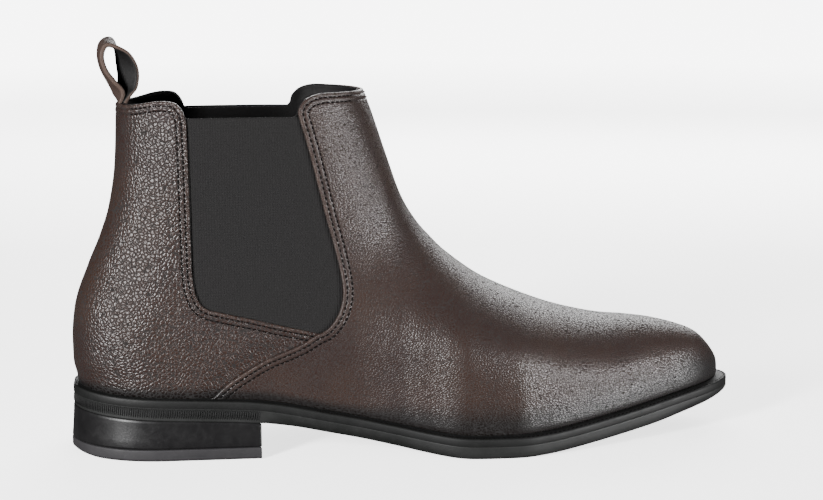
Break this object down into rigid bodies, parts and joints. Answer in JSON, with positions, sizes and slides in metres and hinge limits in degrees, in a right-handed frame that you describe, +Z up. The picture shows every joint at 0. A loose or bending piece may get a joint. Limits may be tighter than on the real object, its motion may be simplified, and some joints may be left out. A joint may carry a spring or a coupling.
{
  "type": "chelsea boot",
  "caption": "Ankle-high pull-on leather boot with elastic side gores, a pointed toe, a low stacked heel and a pull loop at the back.",
  "frame": {"origin": "centre of the boot's outline in plan, on the surface it stands on", "axes": "+X to the toe, +Y to the inner (medial) side of the foot, +Z up"},
  "size_m": [0.3058, 0.0972, 0.1843],
  "materials": {
    "upper_leather": "waxed pebbled calf leather",
    "elastic": "ribbed elastic",
    "lining": "matt lining leather",
    "board": "fibre board",
    "cork": "cork compound",
    "steel": "bright steel",
    "welt": "edge-dressed",
    "sole_rubber": "satin rubber",
    "lift_rubber": "matt rubber"
  },
  "bodies": {
    "boot": {"vamp": "upper_leather", "quarter": "upper_leather", "gore_lateral": "elastic", "gore_medial": "elastic", "vamp_lining": "lining", "quarter_lining": "lining", "heel_counter": "board", "toe_puff": "board", "footbed": "lining", "insole_board": "board", "shank": "steel", "forefoot_filler": "cork", "heel_filler": "cork", "welt": "welt", "outsole": "sole_rubber", "heel_block": "sole_rubber", "top_lift": "lift_rubber", "heel_nail_1": "steel", "heel_nail_2": "steel", "heel_nail_3": "steel", "heel_nail_4": "steel", "heel_nail_5": "steel", "lift_pin_1": "steel", "lift_pin_2": "steel", "lift_pin_3": "steel", "lift_pin_4": "steel", "loop_tail": "upper_leather"},
    "pull_loop": {"pull_loop": "upper_leather"}
  },
  "joints": [
    {"name": "pull_loop_bend", "type": "hinge", "parent": "boot", "child": "pull_loop", "pos_m": [-0.12591, 0.00202, 0.1592], "axis": [0, 1, 0], "range_deg": [-45, 60], "stiffness_Nm_per_rad": 0.02}
  ]
}
